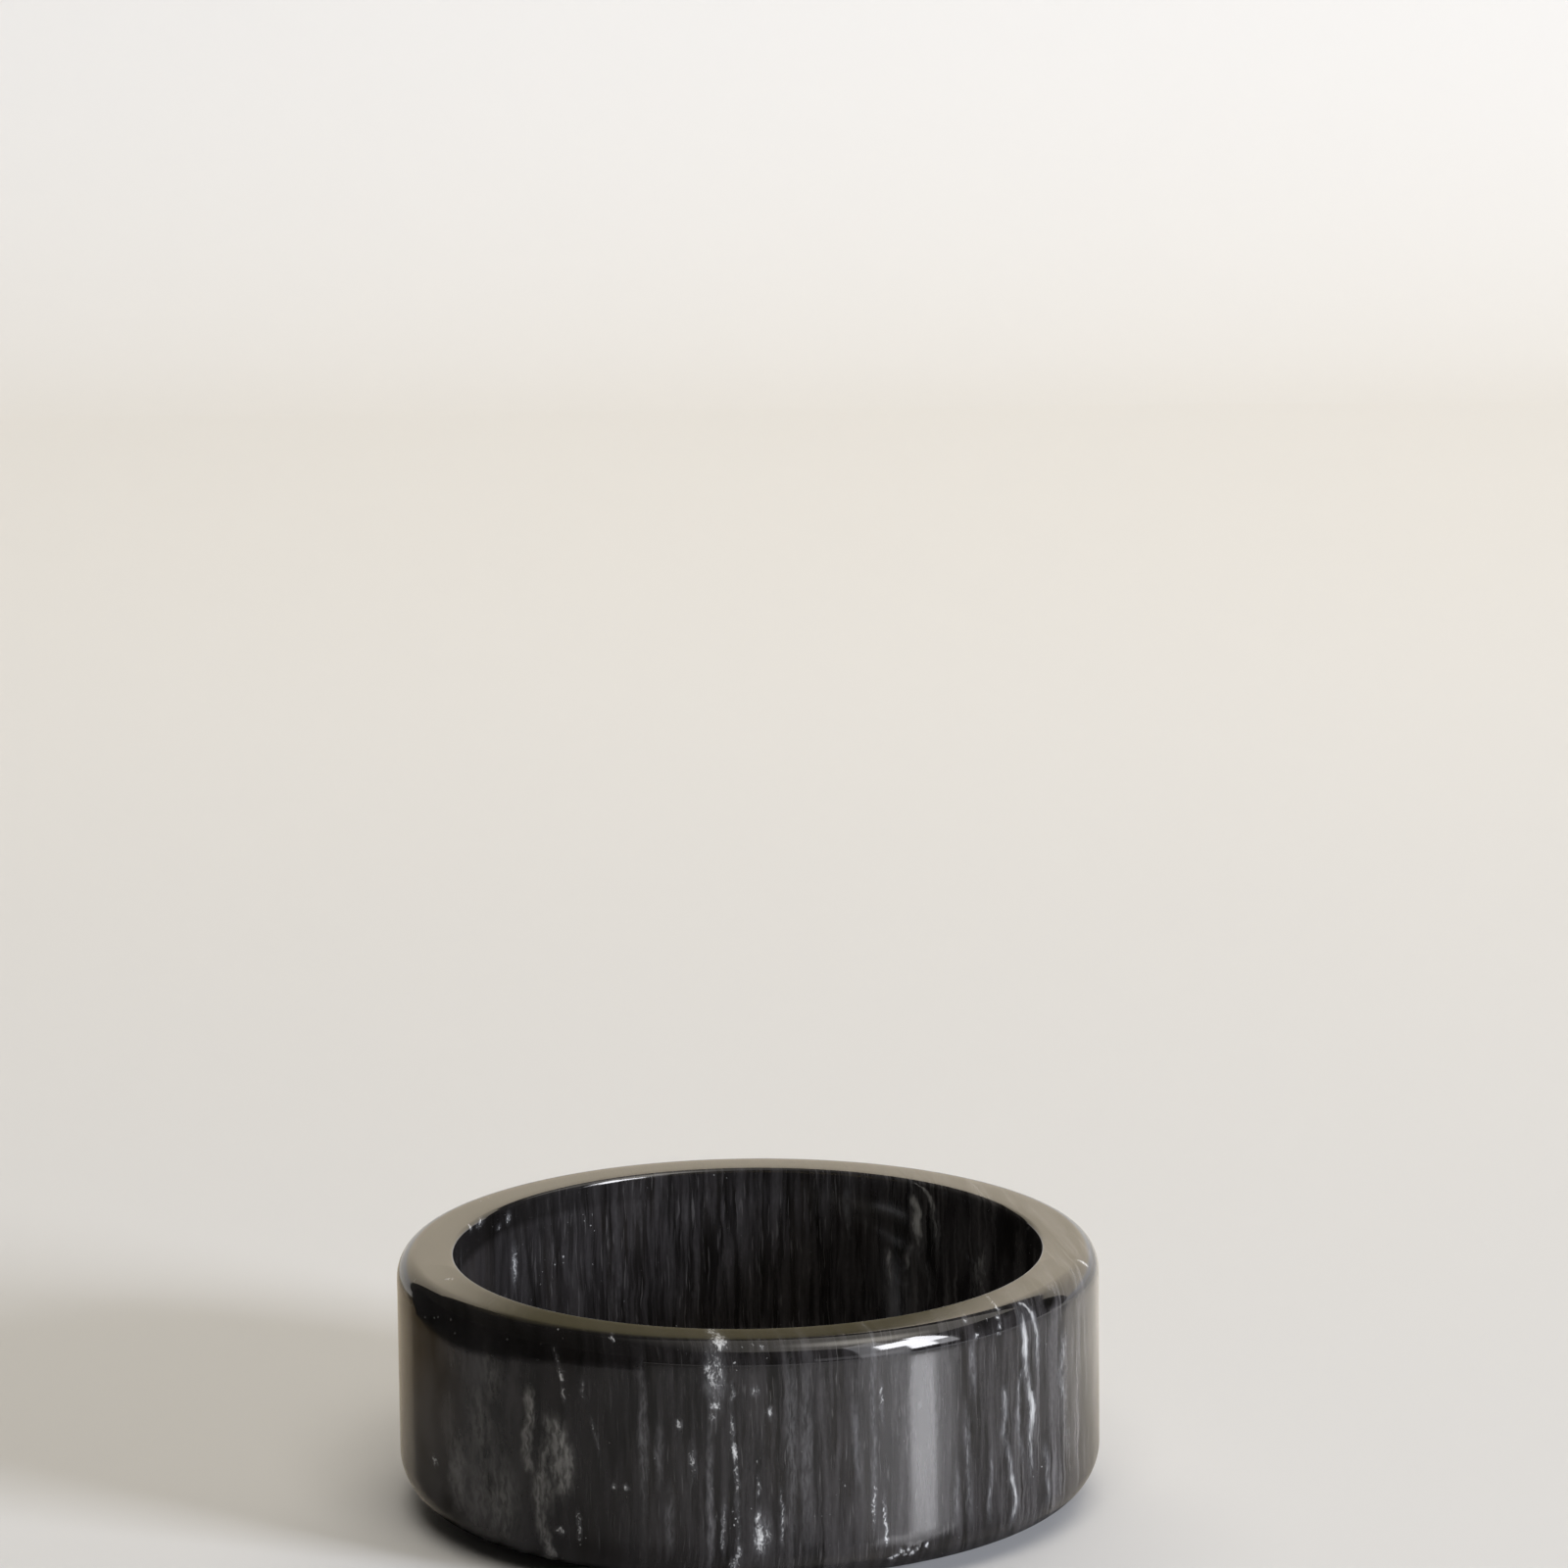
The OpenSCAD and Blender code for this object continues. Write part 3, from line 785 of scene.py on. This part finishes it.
def studio_board():
    """Pale matt board: grey near the object, a shade paler further back, and cream higher up."""
    material, tree, shader = new_material("studio_board", Roughness=1, Specular_IOR_Level=0)
    place = add(tree, "ShaderNodeTexCoord").outputs["Object"]
    where = add(tree, "ShaderNodeSeparateXYZ", {0: place}).outputs
    colour = linear(FLOOR_GREY)
    for axis, (start, end), further in (("Y", BACK_GREY_Y, BACK_GREY), ("Z", CREAM_Z, BACKDROP_CREAM)):
        share = add(tree, "ShaderNodeMapRange", {"Value": where[axis], "From Min": start, "From Max": end},
                    interpolation_type="SMOOTHSTEP")
        colour = add(tree, "ShaderNodeMix", {MIX_FACTOR: share, MIX_A: colour, MIX_B: linear(further)},
                     data_type="RGBA").outputs[MIXED]
    tree.links.new(colour, shader.inputs["Base Color"])
    return material


def black_card():
    """Matt black card."""
    return new_material("black_card", Base_Color=linear(CARD_BLACK), Roughness=0.9)[0]


def grey_satin():
    """Grey satin with painted shade, darker to the left and brown behind there, and a painted shadow darkest
    round the foot; clear from below.
    """
    material, tree, shader = new_material("grey_satin", Roughness=0.22, IOR=1.5, Metallic=0.25)
    place = add(tree, "ShaderNodeTexCoord").outputs["Object"]
    away = add(tree, "ShaderNodeVectorMath", {0: place}, operation="LENGTH").outputs["Value"]
    where = add(tree, "ShaderNodeSeparateXYZ", {0: place}).outputs
    # Painted shade: grey to the right, darker to the left and brown behind there
    right = add(tree, "ShaderNodeMapRange", {
        "Value": where["X"], "From Min": SATIN_LEFT_SHADE_X[0], "From Max": SATIN_LEFT_SHADE_X[1]})
    shaded_behind = add(tree, "ShaderNodeMapRange", {
        "Value": where["Y"], "From Min": SATIN_SHADED_BROWN_Y[0], "From Max": SATIN_SHADED_BROWN_Y[1]})
    # Painted shadow, darkest round the foot
    clear_of_foot_shadow = add(tree, "ShaderNodeMapRange", {
        "Value": away, "From Min": SATIN_FOOT_SHADOW_R[0], "From Max": SATIN_FOOT_SHADOW_R[1],
        "To Min": SATIN_SHARE_IN_FOOT_SHADOW, "To Max": 1})
    left = add(tree, "ShaderNodeMix", {
        MIX_FACTOR: shaded_behind, MIX_A: linear(SATIN_SHADED_LEFT_GREY), MIX_B: linear(SATIN_SHADED_BROWN)}, data_type="RGBA")
    cloth = add(tree, "ShaderNodeMix", {
        MIX_FACTOR: right, MIX_A: left.outputs[MIXED], MIX_B: linear(SATIN_GREY)}, data_type="RGBA")
    colour = add(tree, "ShaderNodeMix", {
        MIX_FACTOR: clear_of_foot_shadow, MIX_A: linear(SATIN_FOOT_SHADOW), MIX_B: cloth.outputs[MIXED]},
        data_type="RGBA")
    tree.links.new(colour.outputs[MIXED], shader.inputs["Base Color"])
    under = add(tree, "ShaderNodeNewGeometry").outputs["Backfacing"]
    clear = add(tree, "ShaderNodeBsdfTransparent")
    either = add(tree, "ShaderNodeMixShader", {0: under, 1: shader, 2: clear})
    tree.links.new(either.outputs[0], tree.nodes["Material Output"].inputs["Surface"])
    return material


def brown_card():
    """Matt brown card that leans to the left, clear towards its two sides and darker towards its top; it
    paints a reflection on the rim.
    """
    material, tree, shader = new_material("brown_card", Roughness=0.9)
    place = add(tree, "ShaderNodeTexCoord").outputs["Object"]
    where = add(tree, "ShaderNodeSeparateXYZ", {0: place}).outputs
    low = add(tree, "ShaderNodeMapRange", {
        "Value": where["Z"], "From Min": BROWN_DARKENS_Z[0], "From Max": BROWN_DARKENS_Z[1],
        "To Min": 1, "To Max": BROWN_AT_TOP})
    colour = add(tree, "ShaderNodeMix", {
        MIX_FACTOR: low, MIX_A: linear(CARD_TOP_BLACK), MIX_B: linear(CARD_BROWN)}, data_type="RGBA")
    tree.links.new(colour.outputs[MIXED], shader.inputs["Base Color"])
    upright = add(tree, "ShaderNodeMath", {0: where["Z"], 1: BROWN_LEAN, 2: where["X"]},
                  operation="MULTIPLY_ADD")
    along = add(tree, "ShaderNodeMath", {0: upright, 1: BROWN_LEAN * BROWN_Z[0]}, operation="SUBTRACT")
    side = add(tree, "ShaderNodeMath", {0: along}, operation="ABSOLUTE")
    end = add(tree, "ShaderNodeMapRange", {
        "Value": side, "From Min": BROWN_SOLID_HALF, "From Max": BROWN_HALF},
        interpolation_type="SMOOTHSTEP")
    clear = add(tree, "ShaderNodeBsdfTransparent")
    either = add(tree, "ShaderNodeMixShader", {0: end, 1: shader, 2: clear})
    tree.links.new(either.outputs[0], tree.nodes["Material Output"].inputs["Surface"])
    return material


def lit_cloth():
    """White cloth that glows softly from above, painted light for the polish to mirror: least to the left
    and most towards the window.
    """
    material, tree, shader = new_material(
        "lit_cloth", Base_Color=linear("#000000"), Emission_Color=linear(ROOM_GLOW_COLOUR))
    place = add(tree, "ShaderNodeTexCoord").outputs["Object"]
    across = add(tree, "ShaderNodeSeparateXYZ", {0: place}).outputs["X"]
    even = add(tree, "ShaderNodeMapRange", {
        "Value": across, "From Min": CEILING_GLOW_X[0], "From Max": CEILING_GLOW_X[1]},
        interpolation_type="SMOOTHSTEP")
    off = add(tree, "ShaderNodeVectorMath", {0: place, 1: BRIGHT_PLACE}, operation="DISTANCE")
    bright = add(tree, "ShaderNodeMapRange", {
        "Value": off.outputs["Value"], "From Min": BRIGHT_R[0], "From Max": BRIGHT_R[1],
        "To Min": BRIGHT_GLOW, "To Max": 0}, interpolation_type="SMOOTHSTEP")
    glow = add(tree, "ShaderNodeMath", {0: even, 1: bright}, operation="ADD")
    tree.links.new(glow.outputs[0], shader.inputs["Emission Strength"])
    return material


def soft_light(name, place, facing, up, width, height, radiance, colour):
    """A rectangular lamp with an even glow, itself out of sight."""
    lamp = bpy.data.lights.new(name, "AREA")
    lamp.shape = "RECTANGLE"
    lamp.size = width
    lamp.size_y = height
    lamp.energy = radiance * math.pi * width * height
    lamp.color = linear(colour)[:3]
    made = bpy.data.objects.new(name, lamp)
    away = -Vector(facing).normalized()
    side = Vector(up).cross(away).normalized()
    made.matrix_world = Matrix((side, away.cross(side), away)).transposed().to_4x4()
    made.location = place
    made.visible_camera = False
    bpy.context.scene.collection.objects.link(made)
    return made


board = studio_board()
floor_rows = [[(x, y, 0) for x in (-FLOOR_HALF, FLOOR_HALF)] for y in (-FLOOR_HALF, FLOOR_HALF)]
sheet_object("studio_floor", floor_rows, board)
sheet_object("backdrop", backdrop_rows(), board)

# The cards and cloths are left to the reflections in the polish, where they are painted reflections
card_line = rounded(CARD_CENTRE, (CARD_R, CARD_R), CARD_FROM, CARD_TO, CARD_STEPS)
for name, rows, finish in (
        ("black_card", [[(x, y, z) for x, y in card_line] for z in (0, CARD_H)], black_card()),
        ("grey_satin", [[(x, y, SATIN_Z) for x in SATIN_X] for y in SATIN_Y], grey_satin()),
        ("brown_card", [[(x, 0, z) for x in BROWN_X] for z in BROWN_Z], brown_card()),
        ("lit_cloth", [[(x, y, CEILING_Z) for x in CEILING_X] for y in CEILING_Y], lit_cloth())):
    mirrored = sheet_object(name, rows, finish)
    mirrored.visible_camera = False
    mirrored.visible_diffuse = False
    mirrored.visible_shadow = False
    mirrored.visible_transmission = False

# Bright and dim panes of the window for the polish to mirror: from and to along it, from and to in height,
# and radiance
for name, near_y, far_y, low_z, high_z, radiance in (
        ("window_high", -1.035, -0.754, 0.55, 1.0, 19), ("window_near", -0.754, -0.532, 0.24, 1.0, 21),
        ("window_far", -0.532, -0.384, 0.5, 1.15, 19), ("window_side", -0.532, -0.365, 0.2, 0.5, 3.8)):
    pane = soft_light(name, (WINDOW_X, (near_y + far_y) / 2, (low_z + high_z) / 2), (-1, 0, 0), (0, 0, 1),
                      far_y - near_y, high_z - low_z, radiance, WINDOW_COLOUR)
    pane.visible_diffuse = False
# A low pane and a halo round the window: place, facing, width, height and radiance
for name, place, facing, width, height, radiance in (
        ("window_low", (0.69, -0.98, 0.21), (-0.574, 0.819, 0), 0.62, 0.17, 0.6),
        ("window_halo", (1.03, -1.12, 0.87), (-1, 0, 0), 0.65, 1.65, 2.0)):
    pane = soft_light(name, place, facing, (0, 0, 1), width, height, radiance, WINDOW_COLOUR)
    pane.visible_diffuse = False
# The light that the window and the room give, which the polish doesn't mirror
for name, place, facing, width, height, radiance, colour in (
        ("window_glow", (2.6, -1.6, 0.8), (-2.6, 1.6, -0.7), 0.8, 0.8, 70, WINDOW_GLOW_COLOUR),
        ("front_glow", (0.2, -1.0, 1.75), (-0.2, 1.0, -1.7), 1.4, 1.0, 3.9, ROOM_GLOW_COLOUR),
        ("back_glow", (0, 1.0, 1.4), (0, -1.0, -1.35), 1.8, 1.0, 1.8, ROOM_GLOW_COLOUR),
        ("backdrop_glow", (0.3, 0.45, 1.2), (0, 0.85, -0.6), 2.4, 0.3, 2.0, ROOM_GLOW_COLOUR)):
    glow = soft_light(name, place, facing, (0, 0, 1), width, height, radiance, colour)
    glow.visible_glossy = False

world = bpy.data.worlds.new("dim_room")
world.use_nodes = True
world.node_tree.nodes["Background"].inputs["Color"].default_value = linear(DIM_ROOM)
bpy.context.scene.world = world

# Camera, as far off as the photograph was taken, turned and rolled the same way
IMAGE_PX = 1600
FOCAL_PX = 9129
SENSOR_MM = 36
CLIP_END = 20
CAMERA_AWAY = 1.6
CAMERA_PITCH = math.radians(12.742)
CAMERA_ROLL = math.radians(0.622)
AIM = Vector((7.5, 0, 132.5)) * MM

camera_data = bpy.data.cameras.new("camera")
camera_data.sensor_width = SENSOR_MM
camera_data.lens = FOCAL_PX / IMAGE_PX * SENSOR_MM
camera_data.clip_end = CLIP_END
camera = bpy.data.objects.new("camera", camera_data)
back = Vector((0, -math.cos(CAMERA_PITCH), math.sin(CAMERA_PITCH)))
camera.location = AIM + back * CAMERA_AWAY
camera.rotation_mode = "QUATERNION"
camera.rotation_quaternion = Quaternion(back, -CAMERA_ROLL) @ (-back).to_track_quat("-Z", "Y")
bpy.context.scene.collection.objects.link(camera)
bpy.context.scene.camera = camera

bpy.context.scene.view_settings.view_transform = "Standard"
